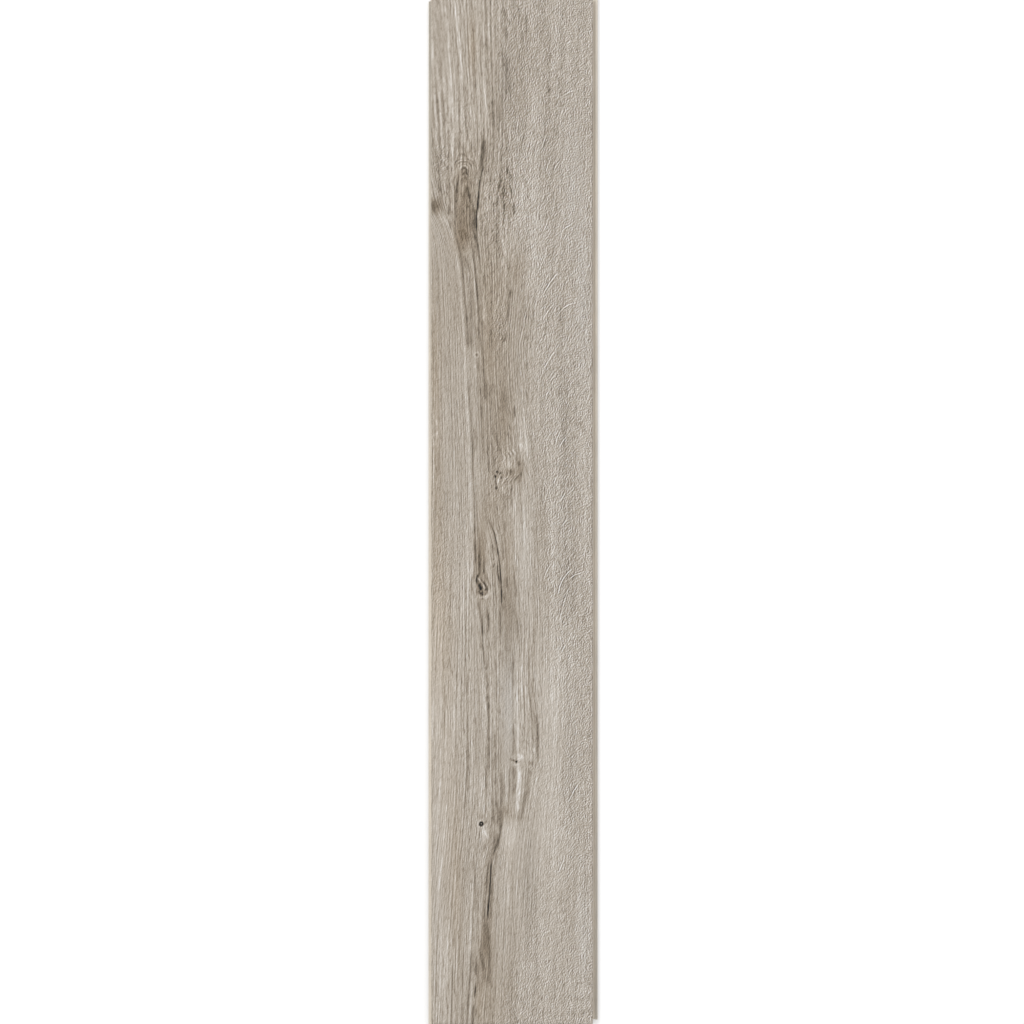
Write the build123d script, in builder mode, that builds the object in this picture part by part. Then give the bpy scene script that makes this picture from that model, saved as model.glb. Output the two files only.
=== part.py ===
"""Laminate floor plank: one pressed fibreboard plank with a printed wood face, milled on all four sides.

The face lies level and up. X runs across the plank, Y along it and Z up, and the origin is on the
underside, below the middle of the face. A glueless locking joint runs round the plank: a tongue on the
-X and -Y sides, and on the +X and +Y sides the groove that takes the next plank's tongue, above a lip
that reaches out under that plank and locks behind the heel of its tongue. The long sides are angled in
and have the deeper lock; the ends are tapped in, with a shorter lip and a lower lock. Sizes are in
millimetres.
"""

from build123d import *
from math import radians, tan
from typing import NamedTuple
import os

# Plank
face_length = 1220.0
face_width = 192.0
thickness = 8.0

# Joint of the long sides, with reaches measured from the joint face, where the two planks meet
side_face_lip = 2.6  # board left above the tongue, and above the groove
side_tongue_reach = 3.4
side_lip_reach = 6.0
side_lip_thickness = 1.8  # locking lip at its thinnest, under the heel of the tongue
side_lock_height = 1.2  # locking edge above the seat of the heel

# Joint of the ends, within the clearance of the side joint's heights, so that the two cut clean corners
end_face_lip = 2.65
end_tongue_reach = 3.0
end_lip_reach = 5.4
end_lip_thickness = 1.85
end_lock_height = 1.1

# Both joints
nose_height = 2.0  # tongue at its nose
heel_setback = 0.5  # joint face to the heel, which is the lowest flat of the tongue
heel_width = 1.7
lock_angle = 52.0  # slope of the locking edge, in degrees from level
clearance = 0.08  # all round the tongue, between two joined planks
end_gap = 0.3  # outer end of the lip to the board beside it
nose_radius = 0.7
heel_radius = 0.6
root_radius = 0.25
lip_chamfer = 0.4


class Joint(NamedTuple):
    """Sizes in which the joint of the long sides and the joint of the ends differ."""

    face_lip: float
    tongue_reach: float
    lip_reach: float
    lip_thickness: float
    lock_height: float


side_joint = Joint(side_face_lip, side_tongue_reach, side_lip_reach, side_lip_thickness, side_lock_height)
end_joint = Joint(end_face_lip, end_tongue_reach, end_lip_reach, end_lip_thickness, end_lock_height)


def tongue_section(joint, joint_face, far):
    """Section of a board whose tongue points to -X from its joint face, cut off square at x = far."""
    tongue_top = thickness - joint.face_lip
    nose_bottom = tongue_top - nose_height
    nose_tip = joint_face - joint.tongue_reach
    heel_bottom = joint.lip_thickness + clearance
    heel_start = joint_face + heel_setback
    heel_end = heel_start + heel_width
    recess_top = heel_bottom + joint.lock_height
    recess_start = heel_end + joint.lock_height / tan(radians(lock_angle))
    recess_end = joint_face + joint.lip_reach + end_gap
    corners = [
        (far, thickness, 0),
        (joint_face, thickness, 0),
        (joint_face, tongue_top, root_radius),
        (nose_tip, tongue_top, nose_radius),
        (nose_tip, nose_bottom, nose_radius),
        (heel_start, heel_bottom, heel_radius),
        (heel_end, heel_bottom, heel_radius),
        (recess_start, recess_top, root_radius),
        (recess_end, recess_top, root_radius),
        (recess_end, 0, 0),
        (far, 0, 0),
    ]
    points = [(x, z) for x, z, _ in corners]
    radii = [radius for _, _, radius in corners]
    with BuildSketch() as section:
        with BuildLine():
            FilletPolyline(*points, radius=radii, close=True)
        make_face()
    return section.sketch


def plank_section(joint, face):
    """Section across a face of this size: tongue on the -X side, groove and locking lip on the +X side."""
    joint_face = face / 2
    lip_end = joint_face + joint.lip_reach
    with BuildSketch() as next_tongue:
        # The next plank's tongue side, a clearance larger all round and moved out by as much, so that
        # the two joint faces meet while the tongue stays free in the groove.
        add(tongue_section(joint, joint_face + clearance, lip_end + thickness))
        offset(amount=clearance, kind=Kind.INTERSECTION)
    with BuildSketch() as section:
        add(tongue_section(joint, -joint_face, lip_end))
        add(next_tongue.sketch, mode=Mode.SUBTRACT)
        lip_corners = section.vertices().group_by(Axis.X)[-1]
        chamfer(lip_corners, lip_chamfer)
    return section.sketch


with BuildPart() as plank:
    # Both pairs of sides are milled right through the board, so the plank is what the two sections share.
    with BuildSketch(Plane.XZ):
        add(plank_section(side_joint, face_width))
    extrude(amount=face_length, both=True)
    with BuildSketch(Plane.YZ):
        add(plank_section(end_joint, face_length))
    extrude(amount=face_width, both=True, mode=Mode.INTERSECT)
    # At two corners the cutters leave a scrap of lip that nothing holds, which falls away.
    for scrap in plank.solids().sort_by(SortBy.VOLUME)[:-1]:
        add(scrap, mode=Mode.SUBTRACT)

plank.part.label = "plank"

os.makedirs("parts", exist_ok=True)
export_step(plank.part, "parts/plank.step")
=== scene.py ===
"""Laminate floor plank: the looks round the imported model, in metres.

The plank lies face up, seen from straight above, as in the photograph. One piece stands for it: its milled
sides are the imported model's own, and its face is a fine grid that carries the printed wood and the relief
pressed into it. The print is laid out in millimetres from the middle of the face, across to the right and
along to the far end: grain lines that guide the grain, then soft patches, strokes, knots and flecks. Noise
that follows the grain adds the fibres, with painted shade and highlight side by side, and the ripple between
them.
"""

from math import hypot, pi, radians

import bmesh
import bpy
import numpy as np
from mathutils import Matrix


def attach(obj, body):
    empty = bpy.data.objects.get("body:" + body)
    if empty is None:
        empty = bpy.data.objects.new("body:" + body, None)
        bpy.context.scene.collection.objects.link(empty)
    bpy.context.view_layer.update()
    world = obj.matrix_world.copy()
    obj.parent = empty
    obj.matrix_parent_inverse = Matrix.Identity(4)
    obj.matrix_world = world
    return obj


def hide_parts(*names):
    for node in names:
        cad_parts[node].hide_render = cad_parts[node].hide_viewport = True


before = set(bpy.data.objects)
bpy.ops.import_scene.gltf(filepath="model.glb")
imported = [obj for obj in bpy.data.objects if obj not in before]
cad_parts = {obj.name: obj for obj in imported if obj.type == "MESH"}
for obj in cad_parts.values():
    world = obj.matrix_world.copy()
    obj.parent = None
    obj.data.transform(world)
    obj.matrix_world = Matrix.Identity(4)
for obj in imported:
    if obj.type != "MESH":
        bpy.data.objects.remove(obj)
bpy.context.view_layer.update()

MM = 0.001
same_place = 0.001 * MM
plank_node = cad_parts["plank"]

# Lines that the grain follows, from the far end of the face to the near one, in order across
grain_guides = [
    # left edge
    [(-158, 610), (-152, 491), (-146, 425.5), (-137, 383.5), (-126, 362), (-114, 343), (-108, 325),
     (-105, 300), (-104, 200), (-104, 100), (-105, 0), (-110, -76), (-116, -152), (-123, -305),
     (-138, -457), (-145, -610)],
    # boundary
    [(-103, 610), (-98, 491), (-93, 425.5), (-87, 383.5), (-82, 362), (-76, 348), (-70, 331), (-64, 305),
     (-61, 267), (-58, 228.5), (-56, 199), (-54.5, 149), (-51.5, 90.5), (-49, 0), (-47.5, -57),
     (-46.5, -128.5), (-47.5, -224), (-47.5, -305), (-49.5, -355), (-53.5, -402.5), (-60.5, -499),
     (-64, -610)],
    # light line
    [(-80, 610), (-75, 551.5), (-70.5, 489.5), (-69.5, 425.5), (-70.5, 383.5), (-70.5, 362),
     (-69.5, 345.5), (-66.5, 329), (-61, 305), (-57, 264.5), (-54, 226.5), (-52, 199), (-50.5, 149),
     (-47.5, 90.5), (-45, 0), (-43.5, -57), (-42.5, -128.5), (-39, -224), (-38, -305), (-40, -367),
     (-45, -426.5), (-49.5, -499), (-54.5, -610)],
    # cracks
    [(-40, 610), (-38, 538.5), (-35.5, 491), (-34, 444.5), (-35.5, 416), (-39, 392), (-41.5, 367),
     (-42.5, 342), (-41.5, 318), (-38.5, 288.5), (-36.5, 252.5), (-34, 199), (-32.5, 149), (-31, 90.5),
     (-29.5, 38), (-27.5, 2.5), (-24.5, -15.5), (-19, -34.5), (-16, -56), (-14, -86), (-12.5, -108.5),
     (-13, -142), (-12.5, -224), (-13.5, -305), (-13.5, -343), (-14, -369.5), (-18, -398),
     (-23.5, -413.5), (-26.5, -441), (-28.5, -470.5), (-29.5, -486), (-30.5, -504), (-33, -533.5),
     (-36.5, -563.5), (-41.5, -610)],
    # heart
    [(10, 610), (8.5, 538.5), (5, 457.5), (1.5, 395.5), (0.5, 348), (-1, 305), (-4, 252.5), (-8, 205),
     (-7, 152.5), (-3, 109.5), (0.5, 62), (2.5, 14.5), (2.5, -33.5), (2.5, -93), (5, -152.5), (2.5, -188),
     (1.5, -248), (1.5, -289.5), (1.5, -319.5), (0.5, -343), (-2, -379), (-7, -438.5), (-10.5, -510),
     (-14, -610)],
    # right streak
    [(28, 610), (28, 538.5), (25.5, 457.5), (22, 395.5), (18, 305), (12.5, 252.5), (7.5, 199),
     (10, 152.5), (14.5, 97.5), (19.5, 50), (22, 0), (23, -57), (25.5, -128.5), (24, -176.5),
     (25.5, -212), (29, -250), (30, -282.5), (29, -305), (24, -343), (17, -391), (11, -462.5),
     (6.5, -533.5), (2.5, -610)],
    # right
    [(60, 610), (57.5, 457.5), (48, 305), (43, 199), (43, 86), (48, 0), (53, -105), (54, -224),
     (49, -343), (42, -462.5), (36, -610)],
    # right edge
    [(95.5, 610), (95.5, 0), (95.5, -610)],
]

# Soft patches: place across and along, half width, half length, tone, warmth
patches = [
    (-4.5, -388.5, 7, 28, 0.04, 0.2), (9, -316, 4.5, 24, 0.03, 0), (-29.5, -228.5, 14.3, 71.4, 0.02, 0),
    (28, -381, 10.7, 71.4, 0.02, 0), (-65, 228.5, 23.8, 71.4, -0.012, 0.1),
    (-82, 541, 9.5, 71.4, -0.012, 0), (-5.5, -93, 7.1, 59.5, -0.022, 0.3), (-51, -76, 9, 60, 0.035, 0),
    (-38, -51, 5.9, 21.4, -0.045, 0.4), (-29.5, -69, 3.6, 47.6, 0.03, 0), (13.5, -93, 7.1, 65.5, 0.025, 0),
    (-29.5, 371.5, 5.9, 30.9, 0.03, 0), (-5.5, 377.5, 10.7, 28.6, -0.035, 0.1),
    (11, 366, 5.9, 35.7, 0.025, 0), (-34, 425.5, 3.1, 21.4, -0.08, 0.1), (-45, 338.5, 3.6, 23.8, -0.07, 0),
    (-2, -190.5, 5.9, 47.6, -0.035, 0), (-7, 380, 7.1, 26.2, -0.045, 0.3),
    (-91.5, 363.5, 8.3, 7.1, -0.1, 0.4), (-58, 366, 9.5, 47.6, -0.045, 0.4),
    (-29.5, -69, 10.7, 71.4, -0.026, 0.2), (-10.5, 86, 9.5, 71.4, -0.026, 0.2),
    (8.5, -224, 9.5, 71.4, 0.02, 0), (-6, 57, 6.5, 6, 0.075, 0), (9.5, 53, 4, 14, -0.06, 0.3),
    (-1.5, 47, 4, 4.5, -0.08, 0.2), (1, 44, 13, 14, -0.05, 0.3), (-36.5, -89.5, 6.5, 11.9, -0.09, 0.3),
    (-58, 333.5, 10.7, 15.5, -0.05, 0.4), (-10.5, 538.5, 30.9, 89.2, -0.028, 0.1),
    (-89, 538.5, 14.3, 83.3, -0.022, 0), (-32, 383.5, 23.8, 71.4, -0.042, 0.2),
    (-73.5, 252.5, 35.7, 71.4, -0.028, 0.1), (10, 240.5, 9.5, 71.4, -0.025, 0.1),
    (-20, 86, 17.8, 71.4, -0.032, 0.2), (39.5, -224, 53.5, 77.3, 0.03, 0),
    (69.5, -379, 35.7, 83.3, 0.022, 0), (72, -522, 33.3, 95.2, 0.026, 0), (89.5, 86, 9.5, 71.4, 0.028, 0),
    (89.5, -39.5, 9.5, 59.5, 0.018, 0), (-87, 405, 14, 38, -0.035, 0), (-57, 369, 12, 48, -0.075, 0.5),
    (-59, 324, 8, 14, -0.06, 0.5), (-92, 365, 7, 8, -0.15, 0.4), (-25, 270, 18, 50, -0.05, 0.5),
    (-28, 191, 11, 48, -0.055, 0.6), (-10, 199, 12, 71, -0.025, 0.3), (-9, 116, 12, 38, -0.065, 0.2),
    (-33, 104, 7, 48, -0.035, 0.2), (5, 287, 7, 17, -0.04, 0.4), (-37, -39, 7, 43, -0.075, 0.4),
    (-23, 5, 11, 26, -0.045, 0.3), (-3, -117, 11, 50, -0.055, 0.1), (-8, -48, 10, 36, -0.02, 0.3),
    (-29, -224, 5, 95, -0.03, 0), (-19, -295, 10, 54, -0.03, 0), (-8, -357, 10, 10, -0.06, 0.3),
    (15, -334, 6, 29, -0.03, 0), (-21, -388, 7, 24, -0.06, 0.1), (-28, -468, 7, 54, -0.055, 0.3),
    (-32, -516, 7, 26, -0.07, 0.5), (-33, -569, 11, 48, -0.045, 0.4), (-14, -581, 19, 48, -0.02, 0.25),
    (-40, -586, 4, 24, 0, 0.5), (-90, 50, 6, 178, -0.015, 0.6), (-93, 181, 5, 71, -0.02, 0.45),
    (-85, -129, 14, 95, 0, 0.7), (-78, -355, 10, 143, 0.005, 0.3), (-66, -438, 6, 95, -0.015, 0.55),
    (-47, 553, 5, 29, -0.01, 0.8), (-85, -295, 12, 131, 0.045, 0), (-88, -462, 11, 107, 0.04, -0.1),
    (-85, -569, 10, 60, 0.03, 0), (-66, 574, 14, 71, 0.02, 0), (-7, 521, 7, 36, -0.03, -0.4),
    (10, 527, 21, 71, -0.02, 0.1), (40, 539, 10, 83, -0.02, 0), (28, 481, 7, 19, 0.03, 0),
    (25, 366, 8, 74, 0.03, 0), (48, 354, 7, 71, -0.02, 0), (72, 384, 11, 71, 0.035, -0.3),
    (85, 253, 8, 83, 0.035, -0.4), (62, 122, 8, 83, -0.02, -0.2), (65, -57, 10, 71, -0.02, -0.2),
    (46, 110, 8, 83, 0.02, 0), (49, -57, 6, 83, 0.03, 0), (16, -57, 10, 60, 0.03, -0.2),
    (15, 98, 5, 31, 0.03, 0), (52, -212, 8, 71, 0.055, 0), (-4, -224, 8, 60, 0.03, -0.6),
    (48, -367, 12, 71, 0.05, 0), (69, -307, 7, 83, -0.02, -0.2), (35, -498, 7, 60, 0.03, 0),
    (0, -386, 8, 20, 0.055, 0), (-7, -450, 10, 36, 0.03, 0), (21, -438, 10, 60, -0.01, -0.3),
    (65, -498, 7, 71, -0.02, 0), (86, -498, 7, 71, 0, -0.4), (-54, -581, 10, 48, -0.01, 0),
    (-38, 253, 4, 71, -0.02, 0),
]

# Strokes: half width, tone, and the points that each runs through
strokes = [
    # far end
    (2.4, 0.035, [(-81.5, 617), (-77, 584), (-74.5, 550.5), (-73, 517), (-70.5, 489.5), (-69, 425.5)]),
    (2, 0.04, [(-68.5, 617), (-64, 568.5), (-59.5, 512.5), (-59, 485), (-58, 455)]),
    (0.85, 0.04, [(-66.5, 600.5), (-64, 570.5)]),
    (1.05, -0.075, [(-64.5, 586), (-61.5, 567), (-58, 514.5), (-54.5, 452.5)]),
    (0.95, -0.11, [(-57, 591), (-54, 554)]),
    (1.2, -0.06, [(-49.5, 600.5), (-45.5, 556.5), (-46, 531.5), (-43, 500.5)]),
    (1.05, -0.05, [(-78.5, 560), (-73.5, 514.5)]), (1.2, -0.06, [(-93, 536), (-89.5, 491), (-88, 464.5)]),
    (1.45, -0.06, [(-95.5, 493), (-94.5, 476.5), (-92.5, 457.5)]),
    (1.55, -0.055, [(-84, 500.5), (-78.5, 452.5)]), (1.05, 0.06, [(-82.5, 517), (-80.5, 497)]),
    (0.95, -0.09, [(-36, 564.5), (-34, 550.5)]), (1.2, -0.065, [(-32, 569.5), (-29, 543.5), (-24.5, 491)]),
    (1.45, -0.16, [(-24.5, 493), (-22.5, 452.5)]), (1.9, -0.05, [(-16.5, 486), (-15, 469.5), (-16.5, 455)]),
    (2.6, -0.06, [(-34, 610), (-30.5, 595.5), (-29, 579)]),
    (1.45, 0.04, [(-51, 503), (-48.5, 469.5), (-46, 449)]), (1.45, 0.05, [(-33, 517), (-29.5, 464.5)]),
    (2, -0.1, [(-10.5, 600.5), (-8.5, 591), (-9, 581.5)]),
    (1.9, -0.09, [(-8, 579), (-7.5, 570.5), (-8, 562.5)]), (1.2, -0.05, [(1.5, 615), (2.5, 572)]),
    (0.85, -0.17, [(7.5, 603), (8.5, 593.5), (8.5, 584)]), (2.4, -0.055, [(10.5, 586), (12.5, 555)]),
    (0.95, -0.14, [(16, 591), (17, 579), (16.5, 567)]), (1.2, 0.05, [(23, 615), (24, 567)]),
    (0.95, 0.035, [(5, 615), (5.5, 567)]), (1.2, -0.1, [(8.5, 550.5), (9, 543.5), (8.5, 536)]),
    (3.35, -0.065, [(-8, 545.5), (-5.5, 524), (-4, 493)]), (0.95, -0.09, [(-2.5, 507.5), (-2, 495.5)]),
    (1.2, -0.09, [(29, 584), (29.5, 574.5)]), (1.8, -0.08, [(42.5, 510), (44, 495.5)]),
    # upper knot, with the crack and the dark spots beside it
    (1.3, 0.055, [(-70.5, 457.5), (-70, 419.5), (-70.5, 383.5), (-70.5, 352.5)]),
    (0.95, -0.05, [(-73.5, 455), (-73.5, 419.5)]), (0.95, -0.05, [(-87, 457.5), (-87.5, 376.5)]),
    (1.3, -0.06, [(-61.5, 457.5), (-67, 429), (-69, 410)]),
    (1.9, -0.08, [(-65, 448), (-63, 439.5), (-64.5, 431.5)]),
    (1.05, -0.1, [(-54, 460), (-51.5, 443), (-47.5, 425.5), (-43, 410), (-41.5, 395.5)]),
    (1.05, 0.06, [(-51.5, 460), (-48.5, 443), (-41.5, 410)]), (0.95, -0.16, [(-45.5, 436), (-45, 426.5)]),
    (1.2, 0.065, [(-61.5, 460), (-54.5, 431.5), (-49.5, 419.5), (-45.5, 402.5)]),
    (1.05, -0.1, [(-67, 410), (-65.5, 419.5), (-63, 424), (-58.5, 426), (-54.5, 423), (-50.5, 414.5)]),
    (1.05, 0.075, [(-66, 405), (-64, 413.5), (-57.5, 419), (-53.5, 416), (-49, 406.5)]),
    (0.85, 0.05, [(-64.5, 400.5), (-63, 410), (-60, 413.5), (-57, 414), (-54, 412), (-50.5, 404)]),
    (0.75, -0.27, [(-61, 405.5), (-57.5, 409), (-54, 408), (-52, 403.5)]),
    (0.7, -0.22, [(-59.5, 400.5), (-55.5, 404), (-51.5, 399)]),
    (0.95, 0.05, [(-61.5, 395.5), (-59, 399), (-55.5, 401), (-49.5, 394.5)]),
    (0.95, -0.1, [(-60, 392), (-58, 396), (-55.5, 397), (-53, 395.5)]),
    (1.2, 0.1, [(-60, 371.5), (-58.5, 383.5), (-56.5, 390), (-54, 391.5), (-51, 387), (-49, 376.5)]),
    (1.05, -0.15, [(-56, 371.5), (-55, 381), (-53.5, 386.5), (-51.5, 382.5), (-50, 373), (-46.5, 361)]),
    (0.85, 0.12, [(-54, 376.5), (-49, 362)]), (1.3, -0.15, [(-64, 398), (-65.5, 387), (-66, 376.5)]),
    (1.05, -0.1, [(-67, 376.5), (-68, 345.5)]), (1.2, -0.14, [(-84, 431.5), (-82.5, 424)]),
    (1.2, -0.13, [(-82, 417), (-80, 411)]), (1.05, -0.12, [(-77, 412), (-76.5, 406.5)]),
    (1.2, -0.12, [(-85.5, 445.5), (-84, 441)]), (0.95, -0.19, [(-75, 364.5), (-75, 352.5)]),
    (0.95, -0.13, [(-74, 346.5), (-73, 335)]), (0.76, -0.2, [(-68.5, 348), (-66, 326.5)]),
    (1.05, -0.14, [(-66, 326.5), (-60, 302.5)]), (1.45, -0.08, [(-63, 335), (-61.5, 331)]),
    (1.45, -0.08, [(-60.5, 329), (-58.5, 323)]), (1.3, -0.1, [(-56, 333.5), (-54, 324)]),
    (1.9, -0.05, [(-58, 364.5), (-57, 340.5)]), (1.2, -0.06, [(-63, 362), (-61.5, 340.5)]),
    (1.65, 0.06, [(-86.5, 354), (-78.5, 344.5), (-71.5, 332.5), (-67, 317), (-64, 305)]),
    (1.9, -0.09, [(-35, 450.5), (-34, 435), (-35.5, 419.5), (-37, 405)]),
    (0.95, -0.09, [(-34.5, 445.5), (-34.5, 429), (-38, 398)]),
    (0.83, -0.47, [(-38, 398), (-41.5, 358.5), (-42.5, 345.5), (-42, 333.5)]),
    (1.2, -0.15, [(-42.5, 338.5), (-41.5, 324), (-39, 305), (-37, 286)]),
    (0.68, -0.28, [(-45, 361), (-44.5, 348), (-45, 336)]),
    (1.05, -0.17, [(-45.5, 336), (-42.5, 320.5), (-41, 305)]), (0.95, -0.1, [(-50, 362), (-48, 333.5)]),
    (0.95, 0.06, [(-49, 340.5), (-45, 317)]), (0.6, 0.1, [(-43.5, 364.5), (-44, 343)]),
    (3.1, 0.035, [(-32, 400.5), (-30.5, 376.5), (-30.5, 350.5)]),
    (1.45, -0.12, [(-33, 338.5), (-30, 327.5)]), (1.2, -0.07, [(-8.5, 457.5), (-6, 436), (-4.5, 406.5)]),
    (0.95, -0.1, [(-13.5, 393), (-12, 399)]), (1.05, -0.12, [(-16, 391), (-15, 383.5)]),
    (1.2, -0.14, [(-10.5, 386), (-11, 373), (-10, 361), (-9.5, 351.5)]),
    (1.3, -0.08, [(-17.5, 381), (-17.5, 362)]), (2.15, -0.085, [(-8.5, 405), (-3, 402), (1, 395.5)]),
    (1.55, -0.12, [(1.5, 367), (3, 354)]), (1.05, -0.09, [(-1.5, 388.5), (-1, 376.5)]),
    (0.95, -0.16, [(7, 460), (7.5, 454)]), (0.95, -0.11, [(13.5, 450.5), (14, 442)]),
    (2.4, -0.065, [(-21, 352.5), (-18.5, 333.5), (-20, 314.5)]),
    (0.95, 0.09, [(-14.5, 376.5), (-13.5, 364.5), (-14, 357.5)]),
    # boundary and streaks from the upper knot to the middle one
    (1.65, 0.085, [(-66.5, 310), (-63, 286), (-57.5, 214.5), (-56, 190.5), (-55, 150), (-53.5, 128.5),
      (-51.5, 69), (-50, 38), (-49, 0), (-47.5, -24), (-47.5, -78.5)]),
    (1.2, -0.15, [(-61.5, 307.5), (-59, 290.5), (-58, 271.5), (-54, 226.5), (-53, 202.5), (-52, 190.5)]),
    (1.9, -0.09, [(-58.5, 305), (-56, 290.5)]), (0.68, -0.19, [(-53.5, 302.5), (-51, 286)]),
    (1.3, -0.12, [(-51, 281), (-49, 252.5), (-48, 193)]), (1.9, -0.07, [(-53.5, 252.5), (-50.5, 193)]),
    (1.45, 0.085, [(-52.5, 324), (-49, 305), (-42, 238.5), (-41.5, 221.5)]),
    (1.05, -0.17, [(-46.5, 314.5), (-40.5, 250), (-39, 205)]), (0.85, -0.12, [(-43, 279), (-40.5, 250)]),
    (1.2, -0.14, [(-39, 209.5), (-36, 193), (-32.5, 150), (-32, 131)]),
    (1.2, 0.08, [(-44, 178.5), (-43, 167), (-43, 152.5)]), (0.95, -0.15, [(-40.5, 178.5), (-40, 165.5)]),
    (1.05, 0.05, [(-38, 205), (-36.5, 188), (-36, 171.5)]), (1.45, -0.12, [(-34, 283.5), (-33.5, 267)]),
    (1.2, 0.06, [(-33, 255), (-32, 221.5)]), (1.05, -0.06, [(-29.5, 252.5), (-28, 231)]),
    (1.8, -0.05, [(-24.5, 231), (-23.5, 209.5), (-24, 190.5)]),
    (1.2, 0.11, [(-8.5, 312), (-11, 298), (-12.5, 283.5)]), (1.65, -0.19, [(-1.5, 264.5), (-2.5, 256)]),
    (1.2, -0.14, [(-3, 254), (-5.5, 225)]), (0.95, 0.08, [(-5.5, 224), (-7.5, 214.5)]),
    (0.76, -0.22, [(-7.5, 209.5), (-9.5, 201.5)]), (0.95, 0.12, [(-7.5, 203.5), (-10.5, 189.5)]),
    (1.8, -0.06, [(15, 246.5), (17, 226.5)]), (1.65, -0.09, [(17, 178.5), (18, 167)]),
    (0.95, -0.17, [(-51.5, 155), (-50, 120.5)]),
    (1.05, -0.16, [(-49.5, 124), (-46.5, 66.5), (-46.5, 40.5)]),
    (1.2, -0.11, [(-45, 102.5), (-43.5, 86), (-43, 71.5)]),
    (1.05, -0.08, [(-46.5, 50), (-44.5, 14.5), (-44, -14.5)]), (1.05, -0.15, [(-38.5, 150), (-36.5, 137)]),
    (1.3, -0.13, [(-36.5, 128.5), (-35, 105)]), (1.05, -0.1, [(-35, 102.5), (-34, 66.5)]),
    (2.6, -0.12, [(-30.5, 155), (-29, 131)]), (1.45, -0.09, [(-25, 152.5), (-23.5, 140.5)]),
    (2.6, -0.06, [(-10, 150), (-8.5, 132), (-9.5, 119)]),
    (0.76, -0.2, [(3.5, 126.5), (3, 119), (3.5, 112)]), (0.95, 0.08, [(6, 138), (4.5, 120.5)]),
    (0.95, 0.12, [(5, 114.5), (2, 103.5)]), (0.85, 0.11, [(10, 114.5), (10.5, 83.5)]),
    (0.7, -0.07, [(8.5, 102.5), (9, 88)]), (0.95, 0.12, [(9, 82), (12.5, 78), (15, 74)]),
    (0.95, 0.08, [(16.5, 84.5), (18, 66.5)]),
    # left of the middle knot, and below it
    (1.8, -0.15, [(-21.5, 100), (-18.5, 88), (-15.5, 75), (-12.5, 69)]),
    (1.2, -0.09, [(-24, 86), (-21, 52.5)]), (1.45, -0.07, [(-29.5, 78.5), (-26.5, 43)]),
    (1.2, 0.04, [(-31, 81), (-28.5, 38)]),
    (1.05, -0.12, [(-14, 70.5), (-20.5, 61), (-21.5, 50), (-20, 38), (-14, 16.5)]),
    (1.05, -0.14, [(-0.5, 33.5), (0.5, 24), (-1.5, 14.5), (-2, 6)]),
    (0.95, 0.09, [(1.5, 30), (0, 20.5), (-2.5, 9.5)]), (1.2, -0.08, [(-10.5, 24), (-9, 12), (-9.5, 0)]),
    (1.05, -0.07, [(-5, 21.5), (-5.5, 9.5)]), (1.65, 0.06, [(4, 26), (3, 12), (3, -9.5)]),
    (1.05, 0.07, [(-97.5, 99), (-86, 108)]), (1.05, 0.09, [(-97.5, 87), (-91.5, 91.5), (-84, 96)]),
    (0.95, 0.06, [(-95, 78.5), (-90, 83.5)]), (1.05, -0.06, [(-96, 94), (-90, 99), (-85.5, 101.5)]),
    (1.2, -0.07, [(-88.5, 78.5), (-87.5, 59.5), (-88.5, 40.5)]),
    # dark knot and the crack beside it
    (0.95, -0.19, [(-44.5, -9.5), (-44.5, -28.5), (-43.5, -45.5), (-43.5, -64.5)]),
    (1.3, -0.19, [(-39.5, -47.5), (-38.5, -64.5), (-39.5, -78.5)]),
    (1.05, -0.11, [(-33.5, -57), (-33.5, -74)]), (2.15, 0.05, [(-28, -14.5), (-28, -76)]),
    (0.86, -0.29, [(-27, -9.5), (-25, -16.5), (-22, -22.5), (-18, -40.5)]),
    (0.76, -0.44, [(-18.5, -37), (-15.5, -56), (-13.5, -77.5), (-12.5, -90.5), (-12.5, -103.5),
      (-12, -112)]),
    (0.85, 0.09, [(-20.5, -20.5), (-18, -28.5), (-16.5, -38)]),
    (0.7, 0.06, [(-15.5, -39.5), (-13.5, -52.5)]), (0.65, -0.19, [(-18.5, -62), (-13.5, -93)]),
    (0.5, 0.06, [(-16, -64.5), (-14, -86)]), (0.95, -0.11, [(-13.5, -112), (-13, -147.5)]),
    (1.55, -0.1, [(-10.5, -93), (-9.5, -105), (-10, -119)]), (0.76, -0.22, [(-23, -55), (-21.5, -57)]),
    (0.68, -0.2, [(-20.5, -61), (-22.5, -66)]), (0.95, 0.12, [(-21.5, -59), (-20.5, -58.5)]),
    (1.9, -0.09, [(-23, -38), (-22, -50)]), (1.2, -0.12, [(-6.5, -76), (-6, -90.5)]),
    (0.95, -0.17, [(2.5, -64.5), (3.5, -81), (4.5, -93), (4.5, -105)]),
    (1.55, -0.1, [(4, -112), (6.5, -126.5), (7.5, -162)]),
    (1.55, -0.05, [(-1.5, -74), (-0.5, -105), (0, -140.5)]), (0.95, -0.11, [(-8, -9.5), (-8.5, -24)]),
    (1.05, -0.05, [(-11, -33.5), (-10.5, -57)]), (0.95, -0.07, [(26, -71.5), (26.5, -105)]),
    (1.05, -0.05, [(29, -9.5), (29.5, -39.5)]), (1.9, 0.035, [(14.5, 0), (15, -39.5), (14.5, -81)]),
    (1.9, 0.045, [(5.5, -9.5), (6, -86)]), (1.05, -0.06, [(-2.5, 0), (-0.5, -43)]),
    (0.94, -0.37, [(-41, -74), (-42, -81), (-41, -87)]),
    (1.44, -0.38, [(-38, -84), (-38, -90), (-36, -93.5)]),
    (0.86, -0.36, [(-33.5, -83.5), (-31, -88), (-30, -94)]),
    (0.94, -0.31, [(-39.5, -93), (-37.5, -97), (-34, -99)]),
    (0.86, -0.22, [(-36.5, -103.5), (-33.5, -103)]),
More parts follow.
